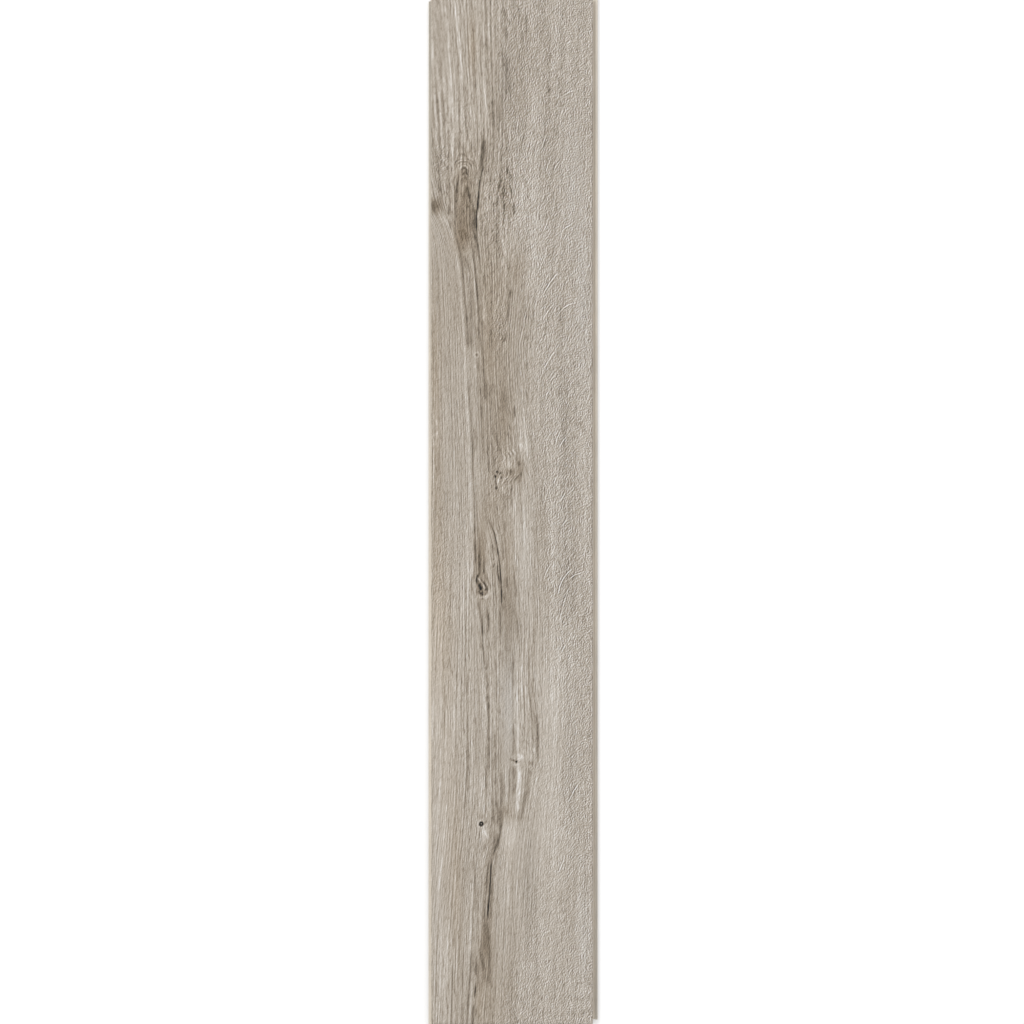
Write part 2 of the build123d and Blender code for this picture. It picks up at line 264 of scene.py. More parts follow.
    (0.65, 0.24, [(-40.5, -78), (-34, -87.5), (-31.5, -93.5)]),
    (1.2, 0.15, [(-35, -101), (-31, -100), (-28.5, -97)]),
    (0.85, 0.1, [(-29.5, -84.5), (-27.5, -90.5), (-28, -96.5)]),
    (0.95, -0.11, [(-32.5, -75), (-28, -82), (-25.5, -90.5), (-27.5, -100)]),
    (1.2, 0.1, [(-44, -76), (-45, -88), (-43, -100)]), (0.95, -0.14, [(-43, -93), (-41.5, -100)]),
    (1.05, 0.09, [(-43, -102.5), (-45, -107)]),
    # streaks from the dark knot to the small one
    (1.2, -0.17, [(-40.5, -105), (-35.5, -137), (-35, -155)]),
    (1.2, 0.06, [(-43, -112), (-40.5, -126.5), (-38.5, -143)]),
    (1.9, -0.09, [(-30, -117), (-28, -126.5), (-27.5, -137)]),
    (0.95, -0.17, [(-48, -136), (-47.5, -146.5)]), (0.85, -0.1, [(-59, -120.5), (-59, -128.5)]),
    (0.86, -0.19, [(-36, -152.5), (-33, -176.5), (-32.5, -186)]),
    (0.95, -0.17, [(-32.5, -183.5), (-31, -187), (-29, -183.5), (-30, -179.5)]),
    (1.8, -0.1, [(-31.5, -188), (-29.5, -202.5), (-28, -238.5)]),
    (0.95, -0.15, [(-28, -224), (-27.5, -262)]),
    (1.9, -0.12, [(-29, -259.5), (-28, -276.5), (-28.5, -313.5)]),
    (1.3, 0.07, [(-33.5, -200), (-32, -228.5), (-31, -283.5)]), (1.2, 0.05, [(-26, -193), (-25, -250)]),
    (0.95, -0.13, [(-19.5, -174), (-19, -190.5)]), (1.05, -0.1, [(-19, -200), (-19, -221.5)]),
    (1.45, -0.12, [(-20.5, -257.5), (-20, -310)]),
    (1.2, 0.045, [(-23, -212), (-22.5, -259.5), (-23, -301.5)]),
    (0.85, -0.13, [(-54, -181), (-53.5, -233.5)]),
    (0.95, -0.08, [(-53.5, -233.5), (-53, -300), (-57.5, -357.5)]),
    (1.05, -0.07, [(-43, -240.5), (-43, -300)]), (0.95, -0.1, [(-74, -174), (-73.5, -190.5)]),
    (1.3, -0.12, [(1.5, -164.5), (1.5, -212)]), (1.8, -0.11, [(2, -255), (2.5, -274), (2, -290.5)]),
    (1.55, 0.065, [(6, -207.5), (7, -286)]), (1.55, -0.05, [(20, -159.5), (19.5, -238.5), (20.5, -274)]),
    (0.65, -0.19, [(23.5, -205), (24, -217)]), (2.6, -0.055, [(25, -217), (28.5, -264.5), (28, -290.5)]),
    (0.95, -0.19, [(29, -238.5), (30.5, -257.5), (30.5, -300)]),
    (1.05, 0.04, [(33, -243), (34, -276.5), (34, -300)]), (0.95, -0.06, [(-12, -164.5), (-11.5, -186)]),
    (1.2, -0.09, [(-7.5, -152.5), (-7.5, -167)]), (1.55, 0.035, [(10.5, -167), (11, -259.5)]),
    (0.95, -0.05, [(14.5, -212), (15.5, -257.5)]),
    # small knot and the pale band below it
    (0.76, -0.36, [(3, -295.5), (4, -296.5)]),
    (0.76, -0.39, [(5.5, -297.5), (7, -297)]), (1.12, -0.2, [(-1.5, -292.5), (0, -296.5)]),
    (1.3, 0.1, [(6.5, -290.5), (8.5, -288)]), (3.2, 0.16, [(8, -292.5), (13.5, -289.5)]),
    (1.45, 0.08, [(11, -286), (15, -283)]), (1.05, 0.1, [(6, -300), (8.5, -300)]),
    (1.65, 0.1, [(24.5, -280), (27, -286)]), (1.3, 0.07, [(22.5, -288), (25, -290.5)]),
    (1.3, -0.06, [(16.5, -279), (19.5, -283.5)]), (2, -0.11, [(18.5, -299), (23, -298), (25.5, -301.5)]),
    (2, -0.14, [(1.5, -298), (2.5, -326.5), (1, -340.5)]),
    (2.8, 0.12, [(7.5, -300), (8, -319.5), (6, -361)]),
    (2.6, -0.11, [(21, -301.5), (19.5, -318), (9, -370.5)]), (1.05, -0.12, [(20, -326.5), (18, -337)]),
    (1.55, 0.05, [(29.5, -305), (28, -324), (25, -343)]), (1.05, -0.09, [(30.5, -338.5), (29.5, -352.5)]),
    (1.2, -0.14, [(-12.5, -307.5), (-12, -329), (-12.5, -350.5)]),
    (1.05, -0.11, [(-9, -321.5), (-8.5, -340.5)]), (1.2, -0.09, [(-3.5, -305), (-3, -331), (-4, -346.5)]),
    (1.2, 0.06, [(-6.5, -305), (-6, -329), (-6.5, -345.5)]), (1.3, -0.11, [(-19.5, -310), (-19, -350.5)]),
    (1.2, -0.17, [(-23.5, -338.5), (-21.5, -371.5)]), (1.9, -0.12, [(-18, -343), (-14.5, -376.5)]),
    (1.2, -0.14, [(-13, -352.5), (-12, -364.5), (-12.5, -376.5)]),
    (2.6, -0.06, [(-10.5, -350.5), (-5.5, -360)]),
    # round mark and the crack below it
    (2, 0.095, [(-35.5, -300), (-35, -326.5), (-34, -352.5), (-34, -364.5)]),
    (0.95, -0.15, [(-31, -302.5), (-31.5, -352.5), (-33, -367)]),
    (1.45, 0.07, [(-41.5, -300), (-43, -329), (-44, -360), (-46.5, -388.5), (-47.5, -417)]),
    (1.05, -0.08, [(-39.5, -357.5), (-38, -366)]),
    (1.2, 0.05, [(-26.5, -307.5), (-26.5, -338.5), (-25.5, -357.5)]),
    (1.8, 0.12, [(-34, -376), (-28.5, -388.5)]), (1.2, 0.07, [(-35.5, -377.5), (-33, -392)]),
    (0.95, -0.2, [(-33, -370), (-29.5, -367.5)]), (2, -0.07, [(-33, -392), (-32, -401.5)]),
    (0.95, -0.11, [(-33.5, -398), (-33, -405)]), (1.12, -0.21, [(-13, -369.5), (-14, -381), (-18, -402.5)]),
    (1.2, -0.17, [(-16.5, -381), (-18, -393), (-21, -402.5), (-23.5, -411)]),
    (0.6, 0.07, [(-15, -379), (-17, -389.5)]),
    (1.05, -0.13, [(-22, -383.5), (-20.5, -396.5), (-21, -406.5)]),
    (1.3, -0.17, [(-23.5, -408.5), (-26.5, -416), (-31, -456.5)]),
    (0.83, -0.51, [(-24, -412), (-25, -422), (-25.5, -433.5), (-29.5, -486)]),
    (1.9, -0.1, [(-23, -424), (-25.5, -488.5)]), (1.55, -0.1, [(-18, -402.5), (-21, -433.5)]),
    (1.05, -0.1, [(-36, -429), (-37.5, -462.5)]),
    (1.2, -0.13, [(-32.5, -454), (-33, -474), (-32.5, -488.5)]),
    (0.6, 0.06, [(-30, -462.5), (-30.5, -479)]),
    (1.2, -0.11, [(-45.5, -410), (-44.5, -431.5), (-43.5, -452.5), (-44.5, -476.5)]),
    (1.3, 0.065, [(-48, -422), (-48, -443), (-49, -469.5), (-50, -529)]),
    (1.2, -0.08, [(-40.5, -441), (-40.5, -469.5), (-40, -503), (-40.5, -517)]),
    (1.05, -0.09, [(-47, -462.5), (-46.5, -498), (-47.5, -517)]),
    (1.2, 0.05, [(-38, -450.5), (-38, -514.5)]),
    # near end
    (2.15, -0.12, [(-30, -483.5), (-26.5, -541), (-26.5, -567)]), (2, -0.1, [(-33.5, -483.5), (-32, -522)]),
    (1.9, -0.1, [(-38, -517), (-36, -531.5), (-33, -545.5), (-31, -564.5)]),
    (1.2, -0.05, [(-36, -531.5), (-34.5, -541)]), (1.05, -0.2, [(-42.5, -529), (-43, -551.5)]),
    (1.04, -0.32, [(-43, -560), (-44.5, -578)]), (1.3, -0.23, [(-45, -584), (-46.5, -595.5), (-47, -617)]),
    (0.68, -0.27, [(-42.5, -588.5), (-43, -600.5)]),
    (1.55, -0.06, [(-41, -533.5), (-40.5, -551.5), (-39, -569.5)]),
    (1.05, -0.17, [(-48.5, -522), (-49.5, -545.5), (-52.5, -584), (-54, -615)]),
    (1.05, -0.1, [(-45, -517), (-46.5, -533.5), (-46.5, -548)]),
    (1.2, 0.07, [(-48, -557.5), (-50.5, -610)]),
    (1.05, -0.11, [(-57.5, -522), (-58.5, -548), (-58.5, -574.5)]),
    (1.05, 0.05, [(-56, -522), (-56, -548), (-57, -572)]), (1.05, -0.1, [(-59, -586), (-59.5, -612.5)]),
    (1.05, -0.13, [(-70.5, -541), (-73, -615)]), (1.05, -0.09, [(-67.5, -493), (-68.5, -517)]),
    (1.3, 0.06, [(-76, -491), (-77, -514.5), (-77.5, -538.5), (-79, -569.5)]),
    (1.3, 0.045, [(-64.5, -510), (-66, -562.5)]), (1.2, -0.06, [(-90, -555), (-91, -581.5)]),
    (1.05, -0.05, [(-82, -524), (-82.5, -550.5)]), (1.65, -0.06, [(-25.5, -576.5), (-25, -615)]),
    (1.45, -0.07, [(-11.5, -581.5), (-12, -612.5)]), (1.45, 0.035, [(-4.5, -581.5), (-5, -610)]),
    (1.2, -0.07, [(-60.5, -376.5), (-66, -429)]), (0.95, -0.08, [(-64.5, -426.5), (-65, -443)]),
    (0.95, -0.07, [(-56.5, -340.5), (-58.5, -364.5)]), (1.05, -0.06, [(-74, -326.5), (-77.5, -376.5)]),
    (0.95, 0.06, [(-84, -319.5), (-87, -336)]), (1.05, -0.07, [(-87, -326.5), (-90.5, -342)]),
    (1.2, 0.05, [(-78, -343), (-82, -398)]), (1.65, -0.05, [(-70.5, -438.5), (-71.5, -472), (-71, -503)]),
    (1.3, 0.045, [(-84, -405), (-86.5, -433.5), (-88, -457.5)]),
    (1.05, -0.06, [(-77.5, -212), (-79.5, -238.5), (-82.5, -264.5)]),
    (1.2, 0.045, [(-67.5, -224), (-69, -257.5), (-71, -286)]),
    (1.05, -0.05, [(-64.5, -243), (-65, -274), (-66, -298)]),
    (1.45, 0.04, [(-83, -212), (-85, -243), (-88, -274)]), (1.8, 0.04, [(-94, -224), (-95, -271.5)]),
    # middle knot
    (1.3, -0.3, [(-18, 49), (-17.5, 46.5)]), (1.1, -0.26, [(-19, 44), (-19.5, 41)]),
    (0.9, -0.2, [(-14, 47.5), (-12.5, 45.5)]), (0.7, -0.14, [(-18, 50), (-15.5, 53.5), (-12, 55)]),
    (0.9, -0.16, [(-12, 42.5), (-13, 38.5)]), (1.1, -0.24, [(-18.5, 30), (-18.5, 27.5)]),
    (0.9, -0.06, [(-20.5, 39.5), (-18.5, 24)]), (0.9, 0.13, [(-13, 43.5), (-15.5, 39.5), (-18, 34)]),
    (0.9, 0.1, [(-14, 34.5), (-16.5, 30)]), (0.9, 0.12, [(-11, 30), (-11, 24)]),
    (1, -0.1, [(12.5, 68), (13, 58.5), (9.5, 38), (5.5, 31)]), (1.3, -0.13, [(8.5, 61), (9, 55)]),
    (0.8, -0.12, [(11, 47.5), (11.5, 43)]), (0.9, 0.1, [(8, 81.5), (10.5, 77), (12.5, 72)]),
    (0.9, 0.1, [(15, 81), (17, 65.5)]), (0.9, -0.13, [(0.5, 30), (-1.5, 24), (-3.5, 15.5)]),
    (0.9, 0.09, [(2, 30), (-1.5, 15.5)]), (0.9, 0.08, [(1, 68), (1.5, 61)]),
    # light lines, upper left
    (2.4, 0.07, [(-81.5, 612.5), (-77, 580), (-74.5, 536), (-72.5, 508.5), (-71.5, 485), (-68.5, 467)]),
    (1.1, -0.055, [(-79, 612.5), (-74.5, 580), (-72.5, 536), (-70, 508.5), (-69.5, 485)]),
    (2.4, 0.07, [(-68, 612.5), (-65, 574.5), (-60.5, 536), (-59, 491), (-59, 461), (-48.5, 425.5)]),
    (1.1, -0.055, [(-71, 612.5), (-68, 574.5), (-64, 536), (-62, 491), (-62, 457.5), (-58, 437)]),
    (1.2, 0.05, [(-95, 562.5), (-93, 503), (-90, 443), (-89, 383.5)]),
    (1.2, -0.05, [(-88, 491), (-83.5, 377.5)]),
    # rings of the dark knot
    (1.1, 0.12, [(-44.5, -83.5), (-43, -93), (-39.5, -100.5), (-33, -103.5), (-26.5, -97.5), (-26, -89.5)]),
    (0.9, -0.2, [(-39.5, -78), (-34, -84), (-29, -90), (-30, -96.5), (-35, -100)]),
    (0.9, -0.14, [(-42.5, -77.5), (-44, -86), (-41.5, -95.5), (-39, -99)]),
    (1, -0.12, [(-46, -74), (-48, -86), (-45.5, -100)]),
    # arch over the upper knot
    (0.9, 0.08, [(-64.5, 402.5), (-61.5, 411), (-57, 412.5), (-52, 409), (-49.5, 402.5)]),
    (1, -0.07, [(-67, 402.5), (-64, 414), (-57, 417), (-49.5, 413), (-46.5, 404)]),
    (1.1, -0.09, [(-66.5, 389.5), (-67.5, 371.5), (-67, 348)]),
    (1.1, -0.08, [(-54, 395.5), (-51.5, 377.5), (-49.5, 354)]),
    # crack of the upper knot, and the band right of the dark knot
    (0.9, -0.2, [(-33.5, 412), (-36.5, 401), (-38, 391)]),
    (1.6, -0.1, [(-35.5, 440), (-35.5, 425), (-37, 408)]), (0.6, 0.2, [(-39.5, 377.5), (-40, 368)]),
    (0.6, 0.22, [(-40.5, 360), (-41, 349)]), (0.6, 0.14, [(-37.5, 398), (-38, 388.5)]),
    (0.8, -0.12, [(-43.5, 366), (-43, 330)]), (1.1, -0.09, [(-32, 443), (-31.5, 429), (-33, 413.5)]),
    (0.9, -0.16, [(-5.5, 410), (-5, 402.5)]), (0.9, -0.14, [(-13.5, 395.5), (-14, 387)]),
    (0.9, -0.14, [(-10.5, 386), (-10.5, 374)]), (0.9, -0.12, [(-12.5, 367), (-14, 358.5)]),
    (0.9, -0.13, [(2, 368), (2.5, 352.5)]), (0.8, 0.1, [(-14.5, 368), (-14, 360), (-11.5, 367)]),
    (1.2, -0.09, [(2.5, -69), (3.5, -95.5), (3.5, -114.5), (5.5, -134.5), (6.5, -152.5)]),
    (1.2, 0.07, [(5.5, -66.5), (5.5, -100), (8.5, -140.5)]),
    (0.9, -0.12, [(-45, -33.5), (-44, -52.5), (-45.5, -87)]),
    (0.9, -0.1, [(-39.5, -57), (-38.5, -66.5), (-38.5, -76)]), (0.9, -0.12, [(-34, -59.5), (-34, -75)]),
    (0.7, 0.16, [(-17, -49), (-14.5, -70.5)]), (0.7, -0.2, [(-18, -57), (-14.5, -84.5)]),
    (0.7, 0.15, [(-13.5, -84.5), (-12.5, -93)]), (0.8, 0.1, [(-10.5, -57), (-10, -81)]),
    (2.2, -0.06, [(-40, -105), (-37, -122.5), (-36, -152.5)]),
    (1.8, -0.07, [(-30.5, -119), (-28, -131), (-28, -145.5)]),
    (1.6, -0.07, [(-15, -112), (-14, -134.5), (-14, -152.5)]),
]

# Hatch below the pale spot of the middle knot, and the fan above it
hatch = [(0, 0), (4, 5), (8, 8.5)]
fan = [(0, 4), (2.5, 1), (4.5, -2.5)]
for line in range(4):
    across = -12 + 4.2 * line
    along = 34 + 1.1 * line
    for tone, aside in ((0.22, 0), (-0.25, 2.1)):
        strokes.append((0.75, tone, [(across + aside + x, along + y) for x, y in hatch]))
for line in range(4):
    across = -12 + 4 * line
    along = 66 + 1.6 * line
    for tone, aside in ((0.18, 0), (-0.14, 2)):
        strokes.append((0.75, tone, [(across + aside + x, along + y) for x, y in fan]))

# Nested arches over the upper knot
for arch in range(4):
    for tone, inward in ((0.1, 0), (-0.11, 1.45)):
        left = -64 - 2.2 * arch + inward
        right = -51 + 2.6 * arch - inward
        top = 413 + 2.9 * arch - inward
        foot = top - 14 - arch
        shoulder = top - 3.4
        rise = [(left, foot), (left + 2.6, shoulder), (-57.5, top)]
        strokes.append((0.8, tone, [*rise, (right - 2.6, shoulder), (right, foot)]))

# Round marks: tone, centre, radius of the ring and its half width; a radius of 0 is a dot
rings = [
    (-0.85, (-36.5, -371), 1.8, 1.5), (0.08, (-36.5, -371), 4.5, 1.4), (-0.3, (-42, 187), 0, 1.8),
    (0.12, (-42, 187), 3, 1.3), (-0.38, (2, -295.5), 0, 1.7), (-0.62, (5, -297), 0, 2.1),
    (0.16, (7.5, -293.5), 0, 2.1), (0.16, (4.5, -301), 0, 2.3), (-0.34, (-17.5, 47.5), 0, 2.5),
    (-0.26, (-19.5, 42.5), 0, 2.3), (-0.24, (-18.5, 28.5), 0, 2.2), (-0.12, (-13.5, 46), 0, 2.2),
    (-0.16, (-13, 41), 0, 2.1), (-0.07, (9, 57), 0, 4.5), (-0.14, (-1, 48.5), 0, 3),
    (-0.24, (-40.5, -82), 0, 2.4), (-0.26, (-36.5, -90), 0, 3.1), (-0.28, (-35.5, -96), 0, 2.7),
    (-0.38, (-31.5, -92), 0, 1.9), (-0.16, (-40, -88), 0, 1.9), (-0.13, (-66.5, 331), 0, 2.1),
    (-0.1, (-54, 328), 0, 2), (-0.1, (-57.5, 335), 0, 1.9),
]

# Strength of the grain round some places: across, along, half width, half length, change
vigour = [
    (-67.5, 545, 38, 70, -0.14), (-88, 562.5, 26.2, 71.4, -0.32), (-59, 383.5, 35.7, 59.5, 0.22),
    (-10.5, 324, 26.2, 119, 0.28), (-88, -152.5, 19, 130.9, -0.14), (-85.5, -402.5, 26.2, 166.6, -0.35),
    (-30.5, -402.5, 16.7, 130.9, 0.2), (45.5, -450.5, 50, 142.8, -0.22), (4, 86, 19, 71.4, 0.12),
]

# Places away from the right where the grain is rippled too: across, along, half width, half length, share
rippled = [
    (-11.5, 371.5, 23.8, 53.5, 0.75), (-84, 419.5, 10.7, 26.2, 0.6), (-54.5, 467, 10.7, 29.8, 0.4),
    (-15, 223, 11.9, 26.2, 0.6), (-78.5, -81, 19, 71.5, 0.5), (33.5, -307.5, 16.7, 47.6, 0.5),
    (-14, 44, 16.7, 35.7, 0.5),
]

# Start of the ripple: place along, and how far across it starts there
ripple_starts = [(610, -23), (457, -17), (370, 0), (250, 16), (70, 20), (-105, 33), (-285, 54), (-400, 38),
                 (-520, 0), (-610, -18)]

# Light flecks in the ripple: tone, and the three points of an arc
flecks = [
    (0.07, (41, 309), (36, 295.5), (30.5, 284)), (0.08, (61, 311), (58.5, 307), (56, 302)),
    (0.06, (61, 290), (58.5, 287), (56, 284)), (0.08, (15, 224), (11.5, 211), (9, 198)),
    (0.06, (30, 252.5), (28.5, 247), (27, 242)), (0.07, (20, 246.5), (16.5, 236), (14, 226.5)),
    (0.12, (41.5, 448), (37.5, 439.5), (35, 431.5)), (0.08, (57.5, 445.5), (52, 439.5), (47, 430.5)),
    (0.09, (45, 417), (42.5, 411), (41, 404.5)), (0.09, (56, 416), (52, 411), (50, 405)),
    (0.06, (46, 383.5), (44.5, 376.5), (41.5, 369.5)), (0.1, (45.5, 355), (41.5, 343), (35.5, 331)),
    (0.15, (68.5, 340.5), (63.5, 337.5), (59.5, 333)), (0.16, (54, 284), (45, 272), (35.5, 256)),
    (0.12, (49, 246.5), (43, 239.5), (37.5, 230)), (0.13, (75, 248.5), (63.5, 244), (54.5, 233.5)),
    (0.08, (39.5, 220.5), (35, 206), (28, 192)), (0.1, (53.5, 195.5), (45.5, 183.5), (36, 167)),
    (0.09, (53.5, 167), (49, 161), (44.5, 153.5)), (0.11, (43, 144), (41, 138), (39, 132)),
    (0.11, (58.5, 97.5), (54.5, 89.5), (51.5, 78.5)), (0.11, (64.5, 89), (60.5, 84.5), (57.5, 78.5)),
    (0.11, (55, 44.5), (52, 39.5), (50, 33.5)), (0.15, (63.5, 22.5), (60.5, 18.5), (58, 13)),
    (0.09, (42, 22.5), (38, 10.5), (35, -2.5)), (0.1, (64.5, -9.5), (60.5, -16.5), (58, -30)),
    (0.13, (45, -63), (41, -71.5), (37.5, -81)), (0.15, (67.5, -71), (59.5, -82), (55, -102.5)),
    (0.15, (82, -72.5), (74, -75.5), (67, -81.5)), (0.13, (65.5, -96.5), (61, -111), (56, -134.5)),
    (0.12, (66, -154.5), (61.5, -161), (58.5, -168)), (0.08, (69.5, -171.5), (68, -177.5), (66.5, -184.5)),
    (0.14, (79.5, -323), (74, -331), (67.5, -344.5)), (0.12, (61.5, -414.5), (58, -422), (54, -430.5)),
    (0.11, (73.5, -425.5), (69.5, -430), (65.5, -437)), (0.12, (74, 501), (67.5, 499), (61.5, 494.5)),
    (0.09, (67, 480), (63, 475.5), (59.5, 468)),
]

# Grid of the face, closer where the print has fine detail: place along or across, and reach
face_columns = 206
face_rows = 470
columns_closer = 2.0
rows_closer = 2.9
fine_columns = [(-40, 62)]
fine_rows = [(413, 18), (343, 7), (325, 9), (187, 5), (49, 24), (-50, 55), (-83, 20), (-185, 7), (-290, 18),
             (-371, 12), (-415, 12)]


def soft_step(low, high, value):
    """Rises smoothly from 0 at low to 1 at high."""
    part = np.clip((value - low) / (high - low), 0, 1)
    return part * part * (3 - 2 * part)


def curve_through(values, places, at):
    """Smooth curve through the values given at rising places, read off at each place in at."""
    slopes = np.gradient(values, places)
    left = np.clip(np.searchsorted(places, at) - 1, 0, len(places) - 2)
    step = places[left + 1] - places[left]
    part = np.clip((at - places[left]) / step, 0, 1)
    square = part * part
    cube = square * part
    return (values[left] * (2 * cube - 3 * square + 1) + values[left + 1] * (3 * square - 2 * cube)
            + step * (slopes[left] * (cube - 2 * square + part) + slopes[left + 1] * (cube - square)))


def drift(across, along, seed):
    """Smooth random field from -1 to 1, which changes about once in each unit across and along."""
    cells = 256
    corners = np.random.default_rng(seed).uniform(-1, 1, (cells, cells))
    column = np.floor(across).astype(int)
    row = np.floor(along).astype(int)
    right = soft_step(0, 1, across - column)
    up = soft_step(0, 1, along - row)
    levels = []
    for level in (row % cells, (row + 1) % cells):
        ahead = corners[(column + 1) % cells, level]
        levels.append(corners[column % cells, level] * (1 - right) + ahead * right)
    return levels[0] * (1 - up) + levels[1] * up


def grain_place(across, along):
    """Number of the grain line through each point: about how far across it runs, in millimetres."""
    narrowest = 0.5
    sampled = np.linspace(-600, 600, 60)
    lines = []
    numbers = []
    for points in grain_guides:
        guide_x, guide_y = np.array(points[::-1], float).T
        lines.append(curve_through(guide_x, guide_y, along))
        numbers.append(np.mean(curve_through(guide_x, guide_y, sampled)))
    grain = np.full(across.shape, numbers[0])
    for left, right, low, high in zip(lines, lines[1:], numbers, numbers[1:]):
        grain += np.clip((across - left) / np.maximum(right - left, narrowest), 0, 1) * (high - low)
    return grain


def paint_stroke(tones, across, along, half_width, tone, points, seed):
    """Adds one stroke to the tones: full in the middle of its width, and fading out at its ends."""
    piece_length = 4
    fade_share = 0.2
    longest_fade = 12
    unevenness = 0.4
    uneven_length = 7
    points = np.array(points, float)
    runs = np.concatenate([[0], np.cumsum(np.hypot(*np.diff(points, axis=0).T))])
    length = runs[-1]
    reach = 3 * half_width
    low = points.min(axis=0) - reach
    high = points.max(axis=0) + reach
    near = (across > low[0]) & (across < high[0]) & (along > low[1]) & (along < high[1])
    if not near.any():
        return
    at = np.linspace(0, length, max(6, int(length / piece_length)))
    line_x = curve_through(points[:, 0], runs, at)
    line_y = curve_through(points[:, 1], runs, at)
    x = across[near]
    y = along[near]
    best = np.full(x.shape, np.inf)
    run = np.zeros(x.shape)
    for x0, y0, x1, y1, start, end in zip(line_x, line_y, line_x[1:], line_y[1:], at, at[1:]):
        step_x = x1 - x0
        step_y = y1 - y0
        part = np.clip(((x - x0) * step_x + (y - y0) * step_y) / (step_x ** 2 + step_y ** 2), 0, 1)
        distance = np.hypot(x - x0 - part * step_x, y - y0 - part * step_y)
        closer = distance < best
        best = np.where(closer, distance, best)
        run = np.where(closer, start + part * (end - start), run)
    fade = min(fade_share * length, longest_fade)
    ends = soft_step(-fade * 0.3, fade, run) * soft_step(length + fade * 0.3, length - fade, run)
    uneven = 1 + unevenness * drift(run / uneven_length + seed * 3.7, np.full(x.shape, float(seed)), 11)
    tones[near] += tone * uneven * ends * np.exp(-(best / half_width) ** 2)


def round_places(across, along, places):
    """Sum of soft changes, each round its own place."""
    falloff = 0.9
    total = np.zeros(across.shape)
    for place_x, place_y, half_width, half_length, change in places:
        reach = ((across - place_x) / half_width) ** 2 + ((along - place_y) / half_length) ** 2
        total += change * np.exp(-reach * falloff)
    return total


def paint(across, along):
    """Tone and warmth of the print at each point of the face."""
    tones = round_places(across, along, [(*place, tone) for *place, tone, warm in patches])
    warmth = round_places(across, along, [(*place, warm) for *place, tone, warm in patches])
    for seed, (half_width, tone, points) in enumerate(strokes):
        paint_stroke(tones, across, along, half_width, tone, points, seed)
    for tone, (place_x, place_y), radius, half_width in rings:
        off_line = np.abs(np.hypot(across - place_x, along - place_y) - radius)
        tones += tone * soft_step(half_width, 0, off_line)
    return tones, warmth


def circle_through(first, middle, last):
    """Centre and radius of the circle through three points, bent a little where they lie in line."""
    bend = 0.07
    points = np.array([first, middle, last], float) + [(0, 0), (bend, bend), (0, 0)]
    sides = 2 * (points[1:] - points[0])
    squares = (points[1:] ** 2).sum(axis=1) - (points[0] ** 2).sum()
    centre = np.linalg.solve(sides, squares)
    return centre, float(np.hypot(*(points[0] - centre)))


def nearest_flecks(across, along):
    """At each point the centre and radius of the nearest fleck's circle, and the tone that is left of it."""
    far_away = 1000.0
    solid_within = 3.5
    gone_beyond = 6
    between_flecks = 2.5
    circles = np.zeros((across.size, 3))
    tones = np.zeros(across.shape)
    nearest = np.full(across.shape, far_away)
    second = np.full(across.shape, far_away)
    for tone, first, middle, last in flecks:
        centre, radius = circle_through(first, middle, last)
        reach = 0.6 * hypot(last[0] - first[0], last[1] - first[1])
        from_middle = np.hypot(across - middle[0], along - middle[1])
        off_line = np.hypot(across - centre[0], along - centre[1]) - radius
        distance = np.hypot(off_line, np.maximum(from_middle - reach, 0))
        closer = distance < nearest
        second = np.where(closer, nearest, np.minimum(second, distance))
        nearest = np.where(closer, distance, nearest)
        circles[closer] = (*centre, radius)
        tones = np.where(closer, tone * soft_step(reach, 0.6 * reach, from_middle), tones)
    tones = tones * soft_step(gone_beyond, solid_within, nearest)
    return circles, tones * soft_step(0, between_flecks, second - nearest)


def grid_lines(low, high, count, fine, closer):
    """Places of count + 1 grid lines from low to high, closer together round each of the fine places."""
    blend = 12
    places = np.linspace(low, high, 4000)
    weight = np.ones(places.shape)
    for middle, reach in fine:
        inside = soft_step(reach + blend, reach, np.abs(places - middle))
        weight = np.maximum(weight, 1 + (closer - 1) * inside)
    run = np.concatenate([[0], np.cumsum((weight[1:] + weight[:-1]) / 2)])
    return np.interp(np.linspace(0, run[-1], count + 1), run, places)


